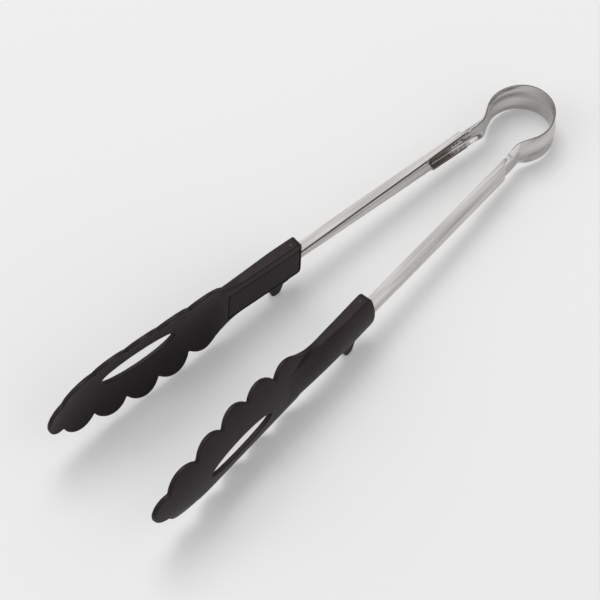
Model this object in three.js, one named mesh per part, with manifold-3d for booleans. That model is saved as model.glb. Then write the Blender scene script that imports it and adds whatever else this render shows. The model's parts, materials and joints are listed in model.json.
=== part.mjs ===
// Spring loaded kitchen tongs: two stainless channel arms welded to one bent spring bow. Each arm carries
// a moulded nylon head, made of a sleeve, a scalloped scoop and a small leg, with a snap-in cover over the
// arm's end and a cross pin through both. Millimetres, +Z up, standing on the two legs and the bow.
import * as THREE from "three";
import { mergeVertices, toCreasedNormals } from "three/addons/utils/BufferGeometryUtils.js";
import Module from "manifold-3d";

const wasm = await Module();
wasm.setup();
const { clamp, degToRad, lerp, smoothstep } = THREE.MathUtils;

// ---------------------------------------------------------------- sizes
// Each side is drawn in its arm's own frame: x outwards from the sleeve's inner face, y along the arm
// towards the bow from the sleeve's end, z up from the middle plane of the tongs.
const SLEEVE_SPREAD = 38.2;
const ARM_LEAN = degToRad(6);
const SEAT_GAP = 0.3;

// Arms: sheet steel folded to a channel that widens from the sleeve to the bow end. Its lower flange wraps
// round to the inner side and nearly closes it, as far as the bow's tang.
const ARM_SHEET = 0.8;
const ARM_FACE = 7.2;
const ARM_HEIGHT = 6.8;
const ARM_DEPTH = 6.1;
const ARM_BEND = 1.7;
const ARM_END_HEIGHT = 12.8;
const ARM_END_DEPTH = 3.8;
const ARM_LENGTH = 102.7;
const ARM_INSERT = 38;
const ARM_EAR_LENGTH = 3.6;
const ARM_CORNER_NOTCH = 0.8;
const ARM_WRAP_GAP = 1.2;
const ARM_WRAP_END = 80;

// Spring bow: one strip with a round loop, and on each side a straight run, a reverse bend, a neck and a
// folded tang in the arm.
const BOW_STRIP = 0.7;
const BOW_RADIUS = 17.0;
const BOW_HEIGHT = 18.9;
const BOW_CROWN_ANGLE = 0.18;
const BOW_CROWN_SHARE = 0.8;
const BOW_STRAIGHT = 9.0;
const BOW_REVERSE_RADIUS = 3.0;
const NECK_LENGTH = 12.2;
const NECK_UNFOLDING = 8.0;
const UNFOLDING_LENGTH = 12;
const TANG_LAP = 18;
const TANG_BEND = 1.7;
const TANG_LIP = 0.4;

// Head: the sleeve around the arm's end.
const SLEEVE_HEIGHT = 22.9;
const SLEEVE_THICKNESS = 8.7;
const SLEEVE_TOP_WIDTH = 5.8;
const SLEEVE_LENGTH = 61;
const SLEEVE_STRAIGHT = 30;
const SLEEVE_NARROWING_START = 12;
const SLEEVE_NARROWING_END = 42;
const EDGE_SINK = 0.15;
const SLEEVE_CORNER_RADII = { top: 3, bottom: 1.5 };

// Head: the scoop, a slab bent across and, near its tip, along.
const BLADE_OFFSET = 4.5;
const BLADE_THICKNESS = 2.3;
const SCOOP_RADIUS = 46.7;
const TIP_BEND_RADIUS = 139;
const TIP_BEND_START = 112;
const TIP_CENTRE = 142.5;
const TIP_RADIUS = 9.4;
const LOBE_PITCH = 18.8;
const LOBE_BULGE = 5.2;
const NOTCH_HALF_WIDTHS = [TIP_RADIUS, 15.7, 18.4, 19.0, 16.7];
const SHOULDER = { along: 51.5, halfWidth: 18.0, bulge: 3.3 };
const FAIRING_LENGTH = 15.5;
const FAIRING_START = { along: 4.2, fall: 2.4 };
const FAIRING_END = { along: 8.5, rise: 0.8 };
const SLOT_LENGTH = 43.4;
const SLOT_WIDTH = 11.2;
const SLOT_CENTRE = 95.6;

// Head: the leg under the sleeve, which keeps the scoops off the table.
const LEG_REACH = 20.7;
const LEG_CENTRE = 13.3;
const LEG_ROOT_LENGTH = 10.9;
const LEG_FOOT_LENGTH = 4.2;
const LEG_INNER = 1.5;
const LEG_THICKNESS = 3.2;

// Cover over the arm's end, with its snap pegs, and the cross pin.
const COVER_THICKNESS = 0.9;
const COVER_RECESS_START = 0.9;
const COVER_RECESS_LENGTH = 43.5;
const COVER_TOP_MARGIN = 4.3;
const COVER_BOTTOM_MARGIN = 0.9;
const PEG_RADIUS = 0.9;
const PEG_LENGTH = 3;
const PEG_INSET = 8;
const PEG_EDGE = 1.4;
const PIN_RADIUS = 0.8;
const PIN_OFFSET = 2.8;
const PIN_ALONG = 4.9;
const PIN_RECESS = 0.2;

const steel = { color: 0xc6c6c4, roughness: 0.34, metalness: 1.0 };
const springSteel = { color: 0xcfcfcd, roughness: 0.22, metalness: 1.0 };
const pinSteel = { color: 0x6f6f70, roughness: 0.4, metalness: 1.0 };
const nylon = { color: 0x2b2829, roughness: 0.46, metalness: 0.0 };
const coverNylon = { color: 0x302d2e, roughness: 0.58, metalness: 0.0 };

// ---------------------------------------------------------------- solids and placing
const CURVE_STEPS = 8;
const ROUND_SIDES = 24;
const CUT_MARGIN = 1;

// Makes a closed three.js geometry into a solid that can be joined and cut.
function solidOf(geometry) {
  geometry.deleteAttribute("normal");
  geometry.deleteAttribute("uv");
  const merged = mergeVertices(geometry, 1e-5);
  return new wasm.Manifold(
    new wasm.Mesh({
      numProp: 3,
      vertProperties: merged.attributes.position.array,
      triVerts: new Uint32Array(merged.index.array),
    }),
  );
}

// Makes a finished solid into a named mesh.
function meshOf(name, solid, finish) {
  const data = solid.getMesh();
  const geometry = new THREE.BufferGeometry();
  geometry.setAttribute("position", new THREE.BufferAttribute(data.vertProperties, 3));
  geometry.setIndex(new THREE.BufferAttribute(data.triVerts, 1));
  const mesh = new THREE.Mesh(toCreasedNormals(geometry), new THREE.MeshStandardMaterial(finish));
  mesh.name = name;
  return mesh;
}

function boxBetween(low, high) {
  const size = new THREE.Vector3().subVectors(high, low);
  const geometry = new THREE.BoxGeometry(size.x, size.y, size.z);
  geometry.translate(low.x + size.x / 2, low.y + size.y / 2, low.z + size.z / 2);
  return solidOf(geometry);
}

// A prism whose outline lies in the x-y plane, centred on z = 0.
function uprightPrism(points, height) {
  const shape = new THREE.Shape(points);
  const geometry = new THREE.ExtrudeGeometry(shape, { depth: height, bevelEnabled: false });
  geometry.translate(0, 0, -height / 2);
  return solidOf(geometry);
}

// A prism whose outline lies in the y-z plane, between two places along x.
function sidewaysPrism(points, fromX, toX) {
  const shape = new THREE.Shape(points);
  const geometry = new THREE.ExtrudeGeometry(shape, { depth: toX - fromX, bevelEnabled: false });
  const turned = new THREE.Matrix4().makeBasis(
    new THREE.Vector3(0, 1, 0),
    new THREE.Vector3(0, 0, 1),
    new THREE.Vector3(1, 0, 0),
  );
  geometry.applyMatrix4(turned);
  geometry.translate(fromX, 0, 0);
  return solidOf(geometry);
}

// ---------------------------------------------------------------- folded strips
// A strip's section is half a flat web, a bend and a flange, mirrored about the middle plane. The share of
// each in the mesh's steps across is fixed, so that its edges follow the bends.
const HALF_STEPS = 7;
const WEB_SHARE = 1 / HALF_STEPS;
const FLANGE_SHARE = 1 / HALF_STEPS;
const BEND_SHARE = 1 - WEB_SHARE - FLANGE_SHARE;

function channelSection(height, depth, bendRadius, sheet) {
  return {
    web: height / 2 - bendRadius,
    bendLength: (bendRadius - sheet / 2) * (Math.PI / 2),
    fold: Math.PI / 2,
    flange: depth - bendRadius,
  };
}

function blendSections(a, b, share) {
  const mixed = {};
  for (const key of Object.keys(a)) {
    mixed[key] = lerp(a[key], b[key], share);
  }
  return mixed;
}

// Where a point of the strip lies in its section: its height, and how far it is inside the web's outer face.
function sectionPoint(section, sheet, across, depth) {
  const side = Math.sign(across);
  const share = Math.abs(across);
  const webPart = Math.min(share / WEB_SHARE, 1) * section.web;
  const turned = clamp((share - WEB_SHARE) / BEND_SHARE, 0, 1) * section.fold;
  const flangePart = Math.max(share - WEB_SHARE - BEND_SHARE, 0) / FLANGE_SHARE * section.flange;
  const outerRadius = section.bendLength / section.fold + sheet / 2;
  const radius = outerRadius - depth * sheet;
  return {
    rise: side * (webPart + radius * Math.sin(turned) + flangePart * Math.cos(turned)),
    inward: outerRadius - radius * Math.cos(turned) + flangePart * Math.sin(turned),
  };
}

// Each station has the place of the web's outer face, the direction that face looks in, and a section.
function foldedStrip(stations, sheet) {
  const steps = stations.length - 1;
  const geometry = new THREE.BoxGeometry(2, 1, steps, 2 * HALF_STEPS, 1, steps);
  const position = geometry.attributes.position;
  for (let i = 0; i < position.count; i += 1) {
    const station = stations[Math.round(position.getZ(i) + steps / 2)];
    const point = sectionPoint(station.section, sheet, position.getX(i), position.getY(i) + 0.5);
    const x = station.place.x - point.inward * Math.cos(station.facing);
    const y = station.place.y - point.inward * Math.sin(station.facing);
    position.setXYZ(i, x, y, point.rise);
  }
  return solidOf(geometry);
}

// ---------------------------------------------------------------- arm
const ARM_STEPS = 6;
const armEnd = ARM_LENGTH + ARM_EAR_LENGTH;
const plainArm = channelSection(ARM_HEIGHT, ARM_DEPTH, ARM_BEND, ARM_SHEET);
const wideArm = channelSection(ARM_END_HEIGHT, ARM_END_DEPTH, ARM_BEND, ARM_SHEET);

function armWidening(y) {
  return clamp(y / ARM_LENGTH, 0, 1);
}

function armSection(y) {
  return blendSections(plainArm, wideArm, armWidening(y));
}

// The web stops at the arm's length. The flanges run on as two ears, with a notch at each bent corner.
function armEndCut() {
  const lipEdge = ARM_FACE - ARM_END_DEPTH;
  const earRoot = ARM_FACE - ARM_BEND;
  const outline = [
    new THREE.Vector2(lipEdge - CUT_MARGIN, armEnd),
    new THREE.Vector2(lipEdge, armEnd),
    new THREE.Vector2(earRoot, ARM_LENGTH),
    new THREE.Vector2(earRoot, ARM_LENGTH - ARM_CORNER_NOTCH),
    new THREE.Vector2(earRoot + ARM_CORNER_NOTCH, ARM_LENGTH - ARM_CORNER_NOTCH),
    new THREE.Vector2(earRoot + ARM_CORNER_NOTCH, ARM_LENGTH),
    new THREE.Vector2(ARM_FACE + CUT_MARGIN, ARM_LENGTH),
    new THREE.Vector2(ARM_FACE + CUT_MARGIN, armEnd + CUT_MARGIN),
    new THREE.Vector2(lipEdge - CUT_MARGIN, armEnd + CUT_MARGIN),
  ];
  return uprightPrism(outline, ARM_END_HEIGHT + 2 * CUT_MARGIN);
}

// The inner side: from the lower flange up to a narrow gap under the upper one.
function armWrap() {
  const places = [-ARM_INSERT, 0, ARM_WRAP_END];
  const geometry = new THREE.BoxGeometry(2, 2, 2, 1, places.length - 1, 1);
  const position = geometry.attributes.position;
  for (let i = 0; i < position.count; i += 1) {
    const y = places[Math.round(position.getY(i) + 1)];
    const widening = armWidening(y);
    const half = lerp(ARM_HEIGHT, ARM_END_HEIGHT, widening) / 2;
    const innerFace = ARM_FACE - lerp(ARM_DEPTH, ARM_END_DEPTH, widening);
    const x = position.getX(i) > 0 ? innerFace + ARM_SHEET : innerFace;
    position.setXYZ(i, x, y, position.getZ(i) > 0 ? half - ARM_SHEET - ARM_WRAP_GAP : -half);
  }
  return solidOf(geometry);
}

function armSolid() {
  const stations = [];
  const addStation = (y) => {
    stations.push({ place: new THREE.Vector2(ARM_FACE, y), facing: 0, section: armSection(y) });
  };
  addStation(armEnd);
  for (let i = 0; i <= ARM_STEPS; i += 1) {
    addStation((1 - i / ARM_STEPS) * ARM_LENGTH);
  }
  addStation(-ARM_INSERT);
  const channel = foldedStrip(stations, ARM_SHEET).add(armWrap());
  return channel.subtract(armEndCut()).subtract(pinHole());
}

// ---------------------------------------------------------------- spring bow
// The neck's web nests inside the arm's web. The straight run touches the reverse bend and the loop's
// circle, which places the loop.
const LOOP_STEPS = 24;
const STRAIGHT_STEPS = 2;
const REVERSE_STEPS = 3;
const UNFOLD_STEPS = 6;
const TANG_STEPS = 6;
const tangFace = ARM_FACE - ARM_SHEET - SEAT_GAP;
const neckEnd = ARM_LENGTH + NECK_LENGTH;
const sleeveSide = SLEEVE_SPREAD / 2;
const loopMidRadius = BOW_RADIUS - BOW_STRIP / 2;

function planPoint(x, y) {
  return new THREE.Vector2(x, y).rotateAround(new THREE.Vector2(), ARM_LEAN).add(
    new THREE.Vector2(sleeveSide, 0),
  );
}

const reverseCentre = planPoint(tangFace - BOW_STRIP / 2 + BOW_REVERSE_RADIUS, neckEnd);
const radiusSum = loopMidRadius + BOW_REVERSE_RADIUS;
const loopRise = Math.sqrt(radiusSum ** 2 + BOW_STRAIGHT ** 2 - reverseCentre.x ** 2);
const loopCentreY = reverseCentre.y + loopRise;
const loopEndFacing = Math.atan2(BOW_STRAIGHT, radiusSum) - Math.atan2(loopRise, reverseCentre.x);
const reverseLength = (ARM_LEAN - loopEndFacing) * BOW_REVERSE_RADIUS;

// The loop is crowned a little over most of its height and flat at its middle and its two edges.
const loopFlat = (BOW_HEIGHT / 4) * (1 - BOW_CROWN_SHARE);
const loopSection = {
  web: loopFlat,
  bendLength: (BOW_HEIGHT / 2) * BOW_CROWN_SHARE,
  fold: BOW_CROWN_ANGLE,
  flange: loopFlat,
};

// In the arm the tang follows the arm's section, one sheet and one gap further in.
function tangSection(y) {
  const widening = armWidening(y);
  const armHeight = lerp(ARM_HEIGHT, ARM_END_HEIGHT, widening);
  const armDepth = lerp(ARM_DEPTH, ARM_END_DEPTH, widening);
  const inset = ARM_SHEET + SEAT_GAP;
  return channelSection(armHeight - 2 * inset, armDepth - inset + TANG_LIP, TANG_BEND, BOW_STRIP);
}

// The strip unfolds from the neck through the reverse bend into the loop: `run` is the way along it.
function unfoldedSection(run) {
  return blendSections(tangSection(neckEnd), loopSection, smoothstep(run, 0, UNFOLDING_LENGTH));
}

function loopStation(facing) {
  const run = NECK_UNFOLDING + reverseLength + BOW_STRAIGHT + (facing - loopEndFacing) * loopMidRadius;
  const place = new THREE.Vector2(Math.cos(facing), Math.sin(facing)).multiplyScalar(BOW_RADIUS);
  place.y += loopCentreY;
  return { place, facing, section: unfoldedSection(run) };
}

// Between the loop's end and the reverse bend, as a share of the straight run.
function straightStation(share) {
  const station = loopStation(loopEndFacing);
  const run = NECK_UNFOLDING + reverseLength + (1 - share) * BOW_STRAIGHT;
  const along = new THREE.Vector2(Math.sin(loopEndFacing), -Math.cos(loopEndFacing));
  station.place.addScaledVector(along, share * BOW_STRAIGHT);
  station.section = unfoldedSection(run);
  return station;
}

function reverseStation(facing) {
  const run = NECK_UNFOLDING + (ARM_LEAN - facing) * BOW_REVERSE_RADIUS;
  const reach = BOW_REVERSE_RADIUS - BOW_STRIP / 2;
  const place = new THREE.Vector2(Math.cos(facing), Math.sin(facing)).multiplyScalar(-reach);
  place.add(reverseCentre);
  return { place, facing, section: unfoldedSection(run) };
}

function neckStation(y, section) {
  return { place: planPoint(tangFace, y), facing: ARM_LEAN, section };
}

function rightHalfStations() {
  const stations = [];
  const loopTop = Math.PI / 2;
  for (let i = 0; i <= LOOP_STEPS; i += 1) {
    stations.push(loopStation(lerp(loopTop, loopEndFacing, i / LOOP_STEPS)));
  }
  for (let i = 1; i < STRAIGHT_STEPS; i += 1) {
    stations.push(straightStation(i / STRAIGHT_STEPS));
  }
  for (let i = 0; i < REVERSE_STEPS; i += 1) {
    stations.push(reverseStation(lerp(loopEndFacing, ARM_LEAN, i / REVERSE_STEPS)));
  }
  for (let i = 0; i <= UNFOLD_STEPS; i += 1) {
    const back = (i / UNFOLD_STEPS) * NECK_UNFOLDING;
    stations.push(neckStation(neckEnd - back, unfoldedSection(NECK_UNFOLDING - back)));
  }
  for (let i = 0; i <= TANG_STEPS; i += 1) {
    const y = ARM_LENGTH - (i / TANG_STEPS) * TANG_LAP;
    stations.push(neckStation(y, tangSection(y)));
  }
  return stations;
}

function mirrorStation(station) {
  return {
    place: new THREE.Vector2(-station.place.x, station.place.y),
    facing: Math.PI - station.facing,
    section: station.section,
  };
}

function bowSolid() {
  const right = rightHalfStations();
  const left = right.slice(1).map(mirrorStation).reverse();
  return foldedStrip([...left, ...right], BOW_STRIP);
}

// ---------------------------------------------------------------- resting attitude
// The tongs lean on the legs' feet and on the lower edge of the loop, which is less deep than the legs.
const legMiddle = planPoint(LEG_INNER + LEG_THICKNESS / 2, -LEG_CENTRE);
const restTilt = Math.atan2(LEG_REACH - BOW_HEIGHT / 2, loopCentreY + BOW_RADIUS - legMiddle.y);

function armPlacement() {
  const place = new THREE.Matrix4().makeRotationZ(ARM_LEAN);
  return place.setPosition(sleeveSide, 0, 0);
}

// Everything under the table, in the arm's frame: it cuts the foot flat.
function belowTable() {
  const size = 2 * (LEG_ROOT_LENGTH + LEG_THICKNESS);
  const table = new THREE.Matrix4().makeRotationX(restTilt);
  table.setPosition(legMiddle.x, legMiddle.y, -LEG_REACH);
  const geometry = new THREE.BoxGeometry(size, size, size);
  geometry.translate(0, 0, -size / 2);
  geometry.applyMatrix4(table);
  geometry.applyMatrix4(armPlacement().invert());
  return solidOf(geometry);
}

// ---------------------------------------------------------------- head
const BLADE_STEPS = { along: 24, up: 14 };
const SLEEVE_STEPS = { along: 20, up: 10 };
const SLOT_STEPS = 32;
const sleeveHalf = SLEEVE_HEIGHT / 2;
const bladeBack = BLADE_OFFSET + BLADE_THICKNESS / 2;
const bladeHollow = BLADE_OFFSET - BLADE_THICKNESS / 2;

// A closed slab between two surfaces, each given as x at a place along and a height.
function slabBetween(inner, outer, fromY, toY, halfHeight, steps) {
  const geometry = new THREE.BoxGeometry(2, toY - fromY, 2 * halfHeight, 1, steps.along, steps.up);
  geometry.translate(0, (fromY + toY) / 2, 0);
  const position = geometry.attributes.position;
  for (let i = 0; i < position.count; i += 1) {
    const surface = position.getX(i) > 0 ? outer : inner;
    position.setX(i, surface(position.getY(i), position.getZ(i)));
  }
  return solidOf(geometry);
}

function bladeDrop(y, z) {
  const pastBend = Math.max(-y - TIP_BEND_START, 0);
  return pastBend ** 2 / (2 * TIP_BEND_RADIUS) + z ** 2 / (2 * SCOOP_RADIUS);
}

// Points of the arc from one notch to the next that stands out from its chord by the bulge.
function lobePoints(from, to, bulge) {
  const chord = new THREE.Vector2().subVectors(to, from);
  const half = chord.length() / 2;
  const radius = (half ** 2 + bulge ** 2) / (2 * bulge);
  const outwards = new THREE.Vector2(-chord.y, chord.x).normalize();
  const centre = from.clone().lerp(to, 0.5).addScaledVector(outwards, bulge - radius);
  const start = Math.atan2(from.y - centre.y, from.x - centre.x);
  const sweep = 2 * Math.asin(half / radius);
  const points = [];
  for (let i = 1; i <= CURVE_STEPS; i += 1) {
    const angle = start - (i / CURVE_STEPS) * sweep;
    points.push(new THREE.Vector2(Math.cos(angle), Math.sin(angle)).multiplyScalar(radius).add(centre));
  }
  return points;
}

// The scoop's edge from the tip to the sleeve: x is the place along the arm, y the height.
function upperEdge() {
  const points = [];
  for (let i = 0; i <= CURVE_STEPS; i += 1) {
    const angle = Math.PI * (1 - i / CURVE_STEPS / 2);
    points.push(
      new THREE.Vector2(Math.cos(angle) * TIP_RADIUS - TIP_CENTRE, Math.sin(angle) * TIP_RADIUS),
    );
  }
  let notch = points[points.length - 1];
  for (let i = 1; i < NOTCH_HALF_WIDTHS.length; i += 1) {
    const next = new THREE.Vector2(i * LOBE_PITCH - TIP_CENTRE, NOTCH_HALF_WIDTHS[i]);
    points.push(...lobePoints(notch, next, LOBE_BULGE));
    notch = next;
  }
  const shoulder = new THREE.Vector2(-SHOULDER.along, SHOULDER.halfWidth);
  points.push(...lobePoints(notch, shoulder, SHOULDER.bulge));
  const inSleeve = new THREE.Vector2(FAIRING_LENGTH - SHOULDER.along, sleeveHalf - SEAT_GAP);
  const fairing = new THREE.CubicBezierCurve(
    shoulder,
    new THREE.Vector2(shoulder.x + FAIRING_START.along, shoulder.y - FAIRING_START.fall),
    new THREE.Vector2(inSleeve.x - FAIRING_END.along, inSleeve.y + FAIRING_END.rise),
    inSleeve,
  );
  points.push(...fairing.getPoints(CURVE_STEPS).slice(1));
  return points;
}

function bladeSolid() {
  const upper = upperEdge();
  const lower = upper.slice(1).map((point) => new THREE.Vector2(point.x, -point.y));
  const outline = [...upper, ...lower.reverse()];
  const tallest = Math.max(...outline.map((point) => point.y)) + CUT_MARGIN;
  const slab = slabBetween(
    (y, z) => bladeHollow - bladeDrop(y, z),
    (y, z) => bladeBack - bladeDrop(y, z),
    -TIP_CENTRE - TIP_RADIUS - CUT_MARGIN,
    FAIRING_LENGTH - SHOULDER.along + CUT_MARGIN,
    tallest,
    BLADE_STEPS,
  );
  const slot = new THREE.EllipseCurve(-SLOT_CENTRE, 0, SLOT_LENGTH / 2, SLOT_WIDTH / 2);
  const reach = bladeDrop(-TIP_CENTRE - TIP_RADIUS, tallest) + bladeBack;
  return slab
    .intersect(sidewaysPrism(outline, -reach, reach))
    .subtract(sidewaysPrism(slot.getPoints(SLOT_STEPS).slice(1), -reach, reach));
}

// The sleeve's back is crowned. Its crown falls onto the scoop's back, and its two long edges run in until
// they lie just under that back.
function sleeveSolid() {
  const crownFall = (y) => {
    const length = SLEEVE_LENGTH - SLEEVE_STRAIGHT;
    const share = Math.max(-y - SLEEVE_STRAIGHT, 0) / length;
    return (SLEEVE_THICKNESS - bladeBack) * share ** 2;
  };
  const edge = (y) => {
    const underBack = bladeBack - bladeDrop(y, sleeveHalf) - EDGE_SINK;
    const narrowing = smoothstep(-y, SLEEVE_NARROWING_START, SLEEVE_NARROWING_END);
    return lerp(SLEEVE_TOP_WIDTH, underBack, narrowing);
  };
  const back = (y, z) => {
    const crown = SLEEVE_THICKNESS - crownFall(y);
    return lerp(crown, edge(y), (z / sleeveHalf) ** 2);
  };
  const face = (y) => {
    const run = smoothstep(-y, COVER_RECESS_START + COVER_RECESS_LENGTH + CUT_MARGIN, SLEEVE_LENGTH);
    return (bladeHollow + SEAT_GAP) * run;
  };
  return slabBetween(face, back, -SLEEVE_LENGTH, 0, sleeveHalf, SLEEVE_STEPS)
    .subtract(cornerWaste(SLEEVE_CORNER_RADII.top, 1))
    .subtract(cornerWaste(SLEEVE_CORNER_RADII.bottom, -1));
}

// What is taken off the sleeve's corner at the arm's end to round it. The side is 1 on top, -1 below.
function cornerWaste(radius, side) {
  const outside = sleeveHalf + CUT_MARGIN;
  const outline = [new THREE.Vector2(CUT_MARGIN, outside), new THREE.Vector2(-radius, outside)];
  for (let i = 0; i <= CURVE_STEPS; i += 1) {
    const angle = (Math.PI / 2) * (1 - i / CURVE_STEPS);
    const point = new THREE.Vector2(Math.cos(angle) - 1, Math.sin(angle) - 1).multiplyScalar(radius);
    outline.push(point.add(new THREE.Vector2(0, sleeveHalf)));
  }
  outline.push(new THREE.Vector2(CUT_MARGIN, sleeveHalf - radius));
  const turned = outline.map((point) => new THREE.Vector2(point.x, side * point.y));
  return sidewaysPrism(turned, -CUT_MARGIN, SLEEVE_THICKNESS + CUT_MARGIN);
}

function legSolid() {
  const root = -sleeveHalf + CUT_MARGIN;
  const foot = -LEG_REACH - CUT_MARGIN;
  const slope = (LEG_ROOT_LENGTH - LEG_FOOT_LENGTH) / 2 / (LEG_REACH - sleeveHalf);
  const halfAt = (z) => LEG_ROOT_LENGTH / 2 - slope * (-sleeveHalf - z);
  const outline = [
    new THREE.Vector2(-LEG_CENTRE - halfAt(foot), foot),
    new THREE.Vector2(-LEG_CENTRE + halfAt(foot), foot),
    new THREE.Vector2(-LEG_CENTRE + halfAt(root), root),
    new THREE.Vector2(-LEG_CENTRE - halfAt(root), root),
  ];
  return sidewaysPrism(outline, LEG_INNER, LEG_INNER + LEG_THICKNESS).subtract(belowTable());
}

function pinHole() {
  const radius = PIN_RADIUS + SEAT_GAP;
  const geometry = new THREE.CylinderGeometry(radius, radius, SLEEVE_HEIGHT + 2 * CUT_MARGIN, ROUND_SIDES);
  geometry.rotateX(Math.PI / 2);
  geometry.translate(PIN_OFFSET, -PIN_ALONG, 0);
  return solidOf(geometry);
}

const recessTop = sleeveHalf - COVER_TOP_MARGIN;
const recessBottom = COVER_BOTTOM_MARGIN - sleeveHalf;

function pegPlaces() {
  const heights = [recessTop - SEAT_GAP - PEG_EDGE, recessBottom + SEAT_GAP + PEG_EDGE];
  const near = -COVER_RECESS_START - PEG_INSET;
  const far = -COVER_RECESS_START - COVER_RECESS_LENGTH + PEG_INSET;
  return [near, far].flatMap((y) => heights.map((z) => ({ y, z })));
}

// A round peg or hole along x, at each of the cover's four pegs.
function pegSolids(radius, fromX, toX) {
  return pegPlaces().map(({ y, z }) => {
    const geometry = new THREE.CylinderGeometry(radius, radius, toX - fromX, ROUND_SIDES);
    geometry.rotateZ(Math.PI / 2);
    geometry.translate((fromX + toX) / 2, y, z);
    return solidOf(geometry);
  });
}

function headSolid() {
  const recessDepth = COVER_THICKNESS + SEAT_GAP;
  const armHalf = ARM_HEIGHT / 2 + SEAT_GAP;
  const recess = boxBetween(
    new THREE.Vector3(-CUT_MARGIN, -COVER_RECESS_START - COVER_RECESS_LENGTH, recessBottom),
    new THREE.Vector3(recessDepth, -COVER_RECESS_START, recessTop),
  );
  const pocket = boxBetween(
    new THREE.Vector3(ARM_FACE - ARM_DEPTH - SEAT_GAP, -ARM_INSERT - SEAT_GAP, -armHalf),
    new THREE.Vector3(ARM_FACE + SEAT_GAP, CUT_MARGIN, armHalf),
  );
  let head = sleeveSolid().add(bladeSolid()).add(legSolid());
  head = head.subtract(recess).subtract(pocket).subtract(pinHole());
  for (const hole of pegSolids(PEG_RADIUS + SEAT_GAP, 0, recessDepth + PEG_LENGTH)) {
    head = head.subtract(hole);
  }
  return head;
}

function coverSolid() {
  const headEnd = SEAT_GAP - COVER_RECESS_START - COVER_RECESS_LENGTH;
  let cover = boxBetween(
    new THREE.Vector3(0, headEnd, recessBottom + SEAT_GAP),
    new THREE.Vector3(COVER_THICKNESS, -COVER_RECESS_START - SEAT_GAP, recessTop - SEAT_GAP),
  );
  for (const peg of pegSolids(PEG_RADIUS, COVER_THICKNESS / 2, COVER_THICKNESS + PEG_LENGTH)) {
    cover = cover.add(peg);
  }
  return cover;
}

function pinSolid() {
  const length = SLEEVE_HEIGHT - 2 * PIN_RECESS;
  const geometry = new THREE.CylinderGeometry(PIN_RADIUS, PIN_RADIUS, length, ROUND_SIDES);
  geometry.rotateX(Math.PI / 2);
  geometry.translate(PIN_OFFSET, -PIN_ALONG, 0);
  return solidOf(geometry);
}

// ---------------------------------------------------------------- assembly
const arm = armSolid();
const head = headSolid();
const cover = coverSolid();
const pin = pinSolid();

function sideGroup(side) {
  const group = new THREE.Group();
  group.add(
    meshOf(`${side}_arm`, arm, steel),
    meshOf(`${side}_head`, head, nylon),
    meshOf(`${side}_head_cover`, cover, coverNylon),
    meshOf(`${side}_head_pin`, pin, pinSteel),
  );
  group.rotation.z = ARM_LEAN;
  group.position.x = sleeveSide;
  return group;
}

const mirrored = new THREE.Group();
mirrored.scale.x = -1;
mirrored.add(sideGroup("left"));

const tongs = new THREE.Group();
tongs.add(meshOf("spring_bow", bowSolid(), springSteel), sideGroup("right"), mirrored);
tongs.rotation.x = -restTilt;

// The origin is on the table, under the middle of the whole object.
const part = new THREE.Group();
part.add(tongs);
part.updateMatrixWorld(true);
const bounds = new THREE.Box3().setFromObject(part, true);
const middle = bounds.getCenter(new THREE.Vector3());
tongs.position.set(-middle.x, -middle.y, -bounds.min.z);

export default part;
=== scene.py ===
# The look of a pair of spring loaded kitchen tongs: two dark nylon heads on folded stainless arms, joined
# by one bent spring bow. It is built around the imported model, in metres, in that model's own frame.
import json
import math
import bpy
import bmesh
import numpy as np
from mathutils import Matrix, Vector, geometry


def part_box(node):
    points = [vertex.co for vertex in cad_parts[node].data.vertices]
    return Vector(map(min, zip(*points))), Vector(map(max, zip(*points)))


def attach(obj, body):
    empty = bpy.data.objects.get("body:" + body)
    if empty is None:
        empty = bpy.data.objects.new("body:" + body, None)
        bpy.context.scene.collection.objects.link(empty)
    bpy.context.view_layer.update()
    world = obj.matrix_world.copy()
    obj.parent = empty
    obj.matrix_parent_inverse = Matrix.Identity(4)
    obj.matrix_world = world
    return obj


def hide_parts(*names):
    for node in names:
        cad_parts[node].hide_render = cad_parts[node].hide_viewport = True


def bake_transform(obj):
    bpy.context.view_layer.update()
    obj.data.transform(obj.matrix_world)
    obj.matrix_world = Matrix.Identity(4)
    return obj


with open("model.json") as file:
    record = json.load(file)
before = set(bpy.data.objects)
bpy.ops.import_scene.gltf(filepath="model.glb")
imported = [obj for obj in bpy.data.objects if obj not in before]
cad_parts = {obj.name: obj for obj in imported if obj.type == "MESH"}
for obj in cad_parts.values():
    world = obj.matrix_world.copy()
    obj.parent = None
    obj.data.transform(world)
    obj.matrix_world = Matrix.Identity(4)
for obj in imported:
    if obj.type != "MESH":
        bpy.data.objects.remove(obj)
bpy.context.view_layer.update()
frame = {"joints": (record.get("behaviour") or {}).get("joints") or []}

# ---------------------------------------------------------------- how the tongs stand
# The tongs are two mirrored halves, each drawn in its arm's own frame in millimetres: x outwards from the
# sleeve's inner face, y along the arm towards the bow from the sleeve's end, z up from the middle plane.
# They stand tilted on the two legs and the bow, so the joints' axis gives the tilt and a pin the place.
MM = 0.001
ARM_LEAN = math.radians(6)
SLEEVE_SPREAD = 38.2
PIN_OFFSET = 2.8
PIN_ALONG = 4.9
SIDES = {"left": -1, "right": 1}


def plan_points(x, y):
    """Points of the right arm's frame in the plan of the whole tongs, in millimetres."""
    cosine, sine = math.cos(ARM_LEAN), math.sin(ARM_LEAN)
    return x * cosine - y * sine + SLEEVE_SPREAD / 2, x * sine + y * cosine


axis = Vector(frame["joints"][0]["axis"])
TILTED = Matrix.Rotation(-math.atan2(axis.y, axis.z), 3, "X")
pin_low, pin_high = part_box("right_head_pin")
pin_plan = Vector((*plan_points(PIN_OFFSET, -PIN_ALONG), 0)) * MM
TONGS_ORIGIN = (pin_low + pin_high) / 2 - TILTED @ pin_plan


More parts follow.
